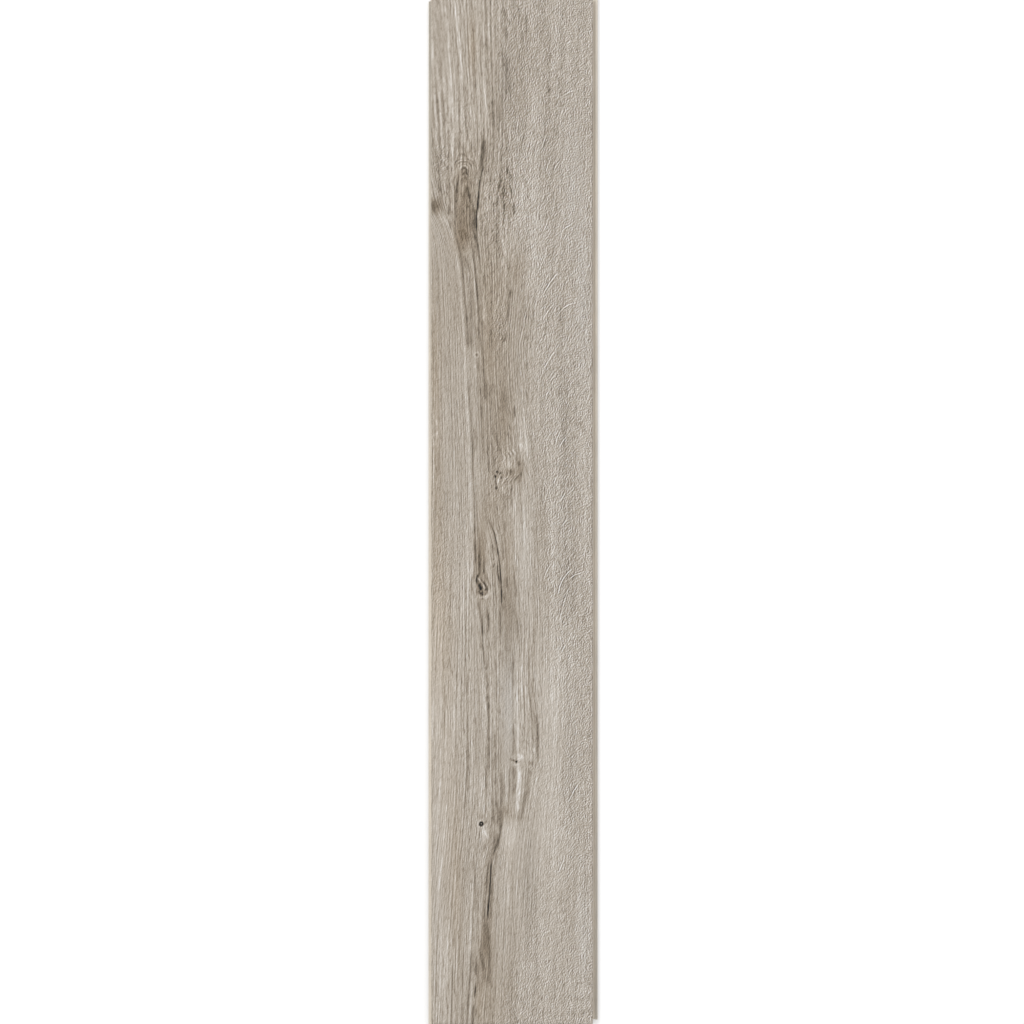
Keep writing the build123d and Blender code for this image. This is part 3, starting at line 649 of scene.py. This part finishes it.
def build_plank():
    """The plank with its face as a grid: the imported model's mesh, with the flat top taken out."""
    body = bmesh.new()
    body.from_mesh(plank_node.data)
    bmesh.ops.remove_doubles(body, verts=body.verts, dist=same_place)
    top = max(vert.co.z for vert in body.verts)
    tops = [face for face in body.faces if all(vert.co.z > top - same_place for vert in face.verts)]
    bmesh.ops.delete(body, geom=tops, context="FACES_ONLY")
    rim = [edge for edge in body.edges if all(vert.co.z > top - same_place for vert in edge.verts)]
    for edge in [edge for edge in rim if not edge.link_faces]:
        body.edges.remove(edge)
    rim = [edge for edge in rim if edge.is_valid]
    corners = np.array([vert.co[:2] for edge in rim for vert in edge.verts])
    low = corners.min(axis=0)
    high = corners.max(axis=0)
    columns = grid_lines(low[0] / MM, high[0] / MM, face_columns, fine_columns, columns_closer) * MM
    rows = grid_lines(low[1] / MM, high[1] / MM, face_rows, fine_rows, rows_closer) * MM
    for edge in rim:
        start, end = edge.verts
        axis = 0 if abs(end.co.x - start.co.x) > abs(end.co.y - start.co.y) else 1
        if end.co[axis] < start.co[axis]:
            start, end = end, start
        places = columns if axis == 0 else rows
        first = start.co[axis] + same_place
        last = end.co[axis] - same_place
        rest = edge
        for place in places[(places > first) & (places < last)]:
            share = (place - start.co[axis]) / (end.co[axis] - start.co[axis])
            rest, start = bmesh.utils.edge_split(rest, start, share)
            rest = [other for other in start.link_edges if end in other.verts][0]
    grid = [[body.verts.new((x, y, top)) for x in columns] for y in rows]
    for row, next_row in zip(grid, grid[1:]):
        for corner in zip(row, row[1:], next_row[1:], next_row):
            body.faces.new(corner)
    bmesh.ops.remove_doubles(body, verts=body.verts, dist=same_place)
    bmesh.ops.recalc_face_normals(body, faces=body.faces)
    open_edges = sum(len(edge.link_faces) != 2 for edge in body.edges)
    mesh = bpy.data.meshes.new("plank_dressed")
    body.to_mesh(mesh)
    body.free()
    print("plank mesh:", len(mesh.vertices), "points, open edges", open_edges)
    return mesh, low / MM, high / MM, top


def set_attribute(mesh, name, *columns):
    """Gives every point of the mesh a named value, or a vector where there are three columns."""
    values = np.stack(columns, axis=1).astype(np.float32).ravel()
    if len(columns) == 3:
        mesh.attributes.new(name, "FLOAT_VECTOR", "POINT").data.foreach_set("vector", values)
    else:
        mesh.attributes.new(name, "FLOAT", "POINT").data.foreach_set("value", values)


def press_relief(mesh, low, high, top):
    """Gives every point its print, and presses the grain, cracks and knots into the face."""
    before_edge = 14
    past_edge = 26
    least_lean = 0.1
    rim_band = 2
    depth_of_tone = 0.35
    deepest = 0.22
    grain_depth = 0.015
    grain_width = 2.2
    grain_length = 40
    places = np.zeros(len(mesh.vertices) * 3)
    mesh.vertices.foreach_get("co", places)
    places = places.reshape(-1, 3)
    across = places[:, 0] / MM
    along = places[:, 1] / MM
    grain = grain_place(across, along)
    tones, warmth = paint(across, along)
    start_along, start_across = np.array(ripple_starts[::-1], float).T
    edge = np.interp(along, start_along, start_across)
    ripple = soft_step(edge - before_edge, edge + past_edge, across) + round_places(across, along, rippled)
    lean = least_lean + np.clip((across - edge) / (high[0] - edge), 0, 1) ** 1.3
    circles, fleck_tones = nearest_flecks(across, along)
    set_attribute(mesh, "grain", grain, along, lean)
    set_attribute(mesh, "fleck", *circles.T)
    set_attribute(mesh, "fleck_tone", fleck_tones)
    set_attribute(mesh, "vigour", 1 + round_places(across, along, vigour))
    set_attribute(mesh, "paint", tones, warmth, np.clip(ripple, 0, 1))
    inset = np.min([across - low[0], high[0] - across, along - low[1], high[1] - along], axis=0)
    uneven = drift(grain / grain_width, along / grain_length, 5)
    on_face = (places[:, 2] > top - same_place) * soft_step(0, rim_band, inset)
    depth = np.clip(-tones * depth_of_tone, 0, deepest) + grain_depth * (1 + uneven)
    places[:, 2] -= on_face * depth * MM
    mesh.vertices.foreach_set("co", places.ravel())
    mesh.update()


class Tree:
    """A material's node tree, with a short call for each kind of node that is used here."""

    def __init__(self, name):
        self.material = bpy.data.materials.new(name)
        self.material.use_nodes = True
        self.nodes = self.material.node_tree.nodes
        self.links = self.material.node_tree.links
        self.nodes.clear()

    def node(self, kind, inputs=None, **settings):
        """A new node, whose inputs are values or other nodes' outputs."""
        node = self.nodes.new(kind)
        for name, value in settings.items():
            setattr(node, name, value)
        for name, value in (inputs or {}).items():
            socket = node.inputs[name]
            if isinstance(value, bpy.types.NodeSocket):
                self.links.new(value, socket)
            else:
                socket.default_value = value
        return node

    def math(self, operation, *values):
        return self.node("ShaderNodeMath", dict(enumerate(values)), operation=operation).outputs[0]

    def vector(self, operation, *values, output="Vector"):
        node = self.node("ShaderNodeVectorMath", dict(enumerate(values)), operation=operation)
        return node.outputs[output]

    def add(self, *values):
        total = values[0]
        for value in values[1:]:
            total = self.math("ADD", total, value)
        return total

    def times(self, *values):
        total = values[0]
        for value in values[1:]:
            total = self.math("MULTIPLY", total, value)
        return total

    def ramp(self, start, slope, value):
        """Start, and slope times the value on top of it."""
        return self.math("MULTIPLY_ADD", value, slope, start)

    def step(self, value, low, high, start=0.0, end=1.0):
        """Goes smoothly from start, where the value is low, to end, where it is high."""
        inputs = {"Value": value, "From Min": low, "From Max": high, "To Min": start, "To Max": end}
        return self.node("ShaderNodeMapRange", inputs, interpolation_type="SMOOTHSTEP").outputs[0]

    def attribute(self, name, output="Fac"):
        return self.node("ShaderNodeAttribute", attribute_name=name).outputs[output]

    def split(self, vector):
        return self.node("ShaderNodeSeparateXYZ", {0: vector}).outputs

    def millimetres(self, height=0):
        """Place on the plank in millimetres, with its height where height is 1."""
        place = self.node("ShaderNodeTexCoord").outputs["Object"]
        return self.vector("MULTIPLY", place, (1 / MM, 1 / MM, height / MM))

    def scaled(self, vector, across, along, layer):
        """The vector in units of this many millimetres across and along, moved to its own layer of noise."""
        shift = (layer * 13.7, layer * 7.3, layer * 5.1)
        return self.vector("MULTIPLY_ADD", vector, (1 / across, 1 / along, 0), shift)

    def noise(self, vector, detail=0.0, roughness=0.5):
        """Noise round zero, from about -1 to 1."""
        inputs = {"Vector": vector, "Scale": 1.0, "Detail": detail, "Roughness": roughness}
        return self.ramp(-1.0, 2.0, self.node("ShaderNodeTexNoise", inputs).outputs[0])

    def relief(self, vector, across, along, layer, shift=(0.6, 0, 0)):
        """Fine grain with painted shade and painted highlight side by side, as if lit from one side: noise,
        less the same noise a little further on.
        """
        first = self.noise(self.scaled(vector, across, along, layer))
        shifted = self.vector("ADD", vector, shift)
        return self.math("SUBTRACT", first, self.noise(self.scaled(shifted, across, along, layer)))

    def colour(self, channels):
        """Colour from its red, green and blue as the eye sees them."""
        linear = [self.math("POWER", channel, 2.2) for channel in channels]
        return self.node("ShaderNodeCombineColor", dict(enumerate(linear))).outputs[0]

    def mixed(self, share, first, second):
        inputs = {"Factor": share, "A": first, "B": second}
        return self.node("ShaderNodeMix", inputs, data_type="RGBA").outputs["Result"]

    def surface(self, inputs):
        """The finished material, with these inputs on its surface shader."""
        shader = self.node("ShaderNodeBsdfPrincipled", inputs)
        output = self.node("ShaderNodeOutputMaterial")
        self.links.new(shader.outputs[0], output.inputs[0])
        return self.material


def printed_colour(tree, grey, warmth):
    """Colour of the print from its grey: browner in the middle tones, and where it is warm."""
    brownest_grey = 0.53
    off_brown = tree.math("SUBTRACT", grey, brownest_grey)
    chroma = tree.ramp(tree.ramp(0.104, -0.55, tree.times(off_brown, off_brown)), 0.028, warmth)
    shares = (0.47, 0.03, -0.52)
    return tree.colour([tree.ramp(grey, share, chroma) for share in shares])


def leaning_waves(tree, millimetres, lean):
    """The ripple: short waves that lean further towards the right edge, and turn a little here and there."""
    turning = tree.noise(tree.scaled(millimetres, 11, 16, 8))
    turned = tree.math("MULTIPLY_ADD", turning, tree.ramp(0.8, 0.9, lean), lean)
    inputs = {"Vector": tree.scaled(millimetres, 8, 8, 6), "Scale": 1.0, "Frequency": 2.9,
              "Anisotropy": 0.72, "Orientation": tree.math("SUBTRACT", pi, turned)}
    gabor = tree.node("ShaderNodeTexGabor", inputs, gabor_type="2D").outputs["Value"]
    return tree.step(gabor, 0.3, 0.7, -1.0, 1.0)


def fleck_line(tree, millimetres):
    """Light line along the nearest fleck's circle, with a dark line on either side."""
    line_spacing = 3.0
    line_reach = 3.2
    centre_x, centre_y, radius = tree.split(tree.attribute("fleck", "Vector"))
    centre = tree.node("ShaderNodeCombineXYZ", {0: centre_x, 1: centre_y}).outputs[0]
    off_line = tree.math("SUBTRACT", tree.vector("DISTANCE", millimetres, centre, output="Value"), radius)
    wave = tree.math("COSINE", tree.times(off_line, 2 * pi / line_spacing))
    near = tree.step(tree.math("ABSOLUTE", off_line), line_reach, 0.0)
    return tree.times(wave, near, tree.attribute("fleck_tone"))


def wood_print():
    """The printed face: grey-beige oak with straight fibres on the left and ripple on the right."""
    mean_grey = 0.651
    tree = Tree("printed_oak")
    grain = tree.attribute("grain", "Vector")
    print_tone, warmth, ripple = tree.split(tree.attribute("paint", "Vector"))
    flat = tree.vector("MULTIPLY", grain, (1, 1, 0))
    millimetres = tree.millimetres()
    # Each kind of grain, with its size across and along and its layer of noise
    broad = tree.noise(tree.scaled(flat, 13, 240, 1), detail=1)
    middle = tree.noise(tree.scaled(flat, 4.2, 110, 2), detail=1)
    # Fibres, hairs and speckle: printed grain drawn with painted shade and painted highlight side by side,
    # as if lit from one side
    fibres = tree.relief(flat, 1.3, 14, 3)
    hairs = tree.relief(flat, 1.5, 170, 7)
    dashes = tree.noise(tree.scaled(flat, 1.1, 6, 4))
    speckle = tree.relief(millimetres, 1.25, 1.45, 5, shift=(0.55, -0.25, 0))
    mottle = tree.noise(tree.scaled(millimetres, 6, 9, 9))
    waves = leaning_waves(tree, millimetres, tree.split(grain)[2])
    tones = tree.ramp(print_tone, 1.9, fleck_line(tree, millimetres))
    # How strongly each kind shows in straight grain, and how that changes in the ripple
    texture = tree.add(
        tree.times(fibres, 0.16, tree.ramp(1.0, -0.4, ripple)),
        tree.times(hairs, 0.19, tree.ramp(1.0, -0.8, ripple)),
        tree.times(tree.step(dashes, 0.2, 0.5), -0.09),
        tree.times(tree.step(dashes, -0.2, -0.5), 0.05),
        tree.times(speckle, tree.ramp(0.13, 0.32, ripple)),
        tree.times(waves, ripple, 0.068),
        tree.times(mottle, ripple, 0.04),
    )
    fibres_in_dark = tree.times(fibres, tree.math("LESS_THAN", tones, 0.0))
    grey = tree.add(
        mean_grey,
        tree.times(tones, tree.ramp(1.08, 1.1, fibres_in_dark)),
        tree.times(broad, 0.045),
        tree.times(middle, 0.06),
        tree.times(texture, tree.attribute("vigour")),
    )
    grey = tree.node("ShaderNodeClamp", {"Value": grey, "Min": 0.05, "Max": 0.92}).outputs[0]
    bump = tree.node("ShaderNodeBump", {"Height": grey, "Strength": 0.5, "Distance": 0.06 * MM})
    return tree.surface({
        "Base Color": printed_colour(tree, grey, warmth),
        "Roughness": tree.ramp(0.66, -0.12, grey),
        "Normal": bump.outputs[0],
    })


def fibreboard():
    """Milled edge of the core: pale brown compressed fibres, with the printed paper as a line at the top."""
    core_colour = (0.87, 0.835, 0.78)
    paper_colour = (0.3, 0.26, 0.21, 1)
    tree = Tree("milled_fibreboard")
    millimetres = tree.millimetres(height=1)
    fibres = tree.noise(millimetres, detail=3, roughness=0.7)
    layers = tree.noise(tree.vector("MULTIPLY", millimetres, (0.02, 0.02, 1.6)), detail=2)
    shade = tree.add(1.0, tree.times(fibres, 0.10), tree.times(layers, 0.08))
    core = tree.colour([tree.times(shade, channel) for channel in core_colour])
    paper = tree.step(tree.split(millimetres)[2], 7.62, 7.7)
    return tree.surface({"Base Color": tree.mixed(paper, core, paper_colour), "Roughness": 0.8})


def backing_paper():
    """Balancing layer on the underside."""
    paper_colour = (0.74, 0.69, 0.60)
    tree = Tree("backing_paper")
    mottle = tree.noise(tree.scaled(tree.millimetres(), 6, 9, 1), detail=4, roughness=0.6)
    shade = tree.ramp(1.0, 0.06, mottle)
    colour = tree.colour([tree.times(shade, channel) for channel in paper_colour])
    return tree.surface({"Base Color": colour, "Roughness": 0.75})


def white_floor():
    """Floor that the camera sees as white, and that lights the plank less than a white one would."""
    tree = Tree("floor_white")
    seen = tree.node("ShaderNodeLightPath").outputs["Is Camera Ray"]
    colour = tree.mixed(seen, (0.6, 0.6, 0.6, 1), (1, 1, 1, 1))
    return tree.surface({"Base Color": colour, "Roughness": 1.0, "Specular IOR Level": 0.0,
                         "Emission Color": (1, 1, 1, 1), "Emission Strength": tree.times(seen, 0.12)})


def give_materials(mesh, top):
    """Printed wood on the face, backing paper underneath and bare fibreboard on the milled sides."""
    level = 0.7
    for material in (wood_print(), fibreboard(), backing_paper()):
        mesh.materials.append(material)
    normals = np.zeros(len(mesh.polygons) * 3)
    centres = np.zeros(len(mesh.polygons) * 3)
    mesh.polygons.foreach_get("normal", normals)
    mesh.polygons.foreach_get("center", centres)
    upward = normals[2::3]
    height = centres[2::3]
    kinds = np.ones(len(mesh.polygons), np.int32)
    kinds[(upward > level) & (height > top - 0.5 * MM)] = 0
    kinds[(upward < -level) & (height < 0.1 * MM)] = 2
    mesh.polygons.foreach_set("material_index", kinds)
    mesh.polygons.foreach_set("use_smooth", np.ones(len(mesh.polygons), bool))
    mesh.set_sharp_from_angle(angle=radians(30))


mesh, face_low, face_high, face_top = build_plank()
press_relief(mesh, face_low, face_high, face_top)
give_materials(mesh, face_top)
plank = bpy.data.objects.new("plank_board", mesh)
bpy.context.scene.collection.objects.link(plank)
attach(plank, "root")
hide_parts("plank")

floor_size = 30.0
bpy.ops.mesh.primitive_plane_add(size=floor_size)
floor = bpy.context.object
floor.name = "floor"
floor.location.z = -0.5 * MM
floor.data.materials.append(white_floor())

world_brightness = 0.8
world = bpy.data.worlds.new("studio")
bpy.context.scene.world = world
world.use_nodes = True
background = world.node_tree.nodes["Background"]
background.inputs["Color"].default_value = (1, 1, 1, 1)
background.inputs["Strength"].default_value = world_brightness

# Key lamp, from the far left
key_size = 1.6
key_power = 60
light = bpy.data.lights.new("key", "AREA")
light.shape = "DISK"
light.size = key_size
light.energy = key_power
lamp = bpy.data.objects.new("key", light)
lamp.location = (-3.0, 2.0, 3.4)
lamp.rotation_euler = (-lamp.location).to_track_quat("-Z", "Y").to_euler()
bpy.context.scene.collection.objects.link(lamp)

# Camera straight above, with the ends of the face at the ends of the picture
lens = 100.0
sensor = 36.0
trimmed = 0.998
face_length = (face_high[1] - face_low[1]) * MM
distance = face_length * trimmed / 2 / (sensor / 2 / lens)
camera_data = bpy.data.cameras.new("camera")
camera_data.lens = lens
camera_data.sensor_width = sensor
camera = bpy.data.objects.new("camera", camera_data)
camera.location = (0, 0, face_top + distance)
bpy.context.scene.collection.objects.link(camera)
bpy.context.scene.camera = camera
bpy.context.scene.view_settings.view_transform = "Standard"
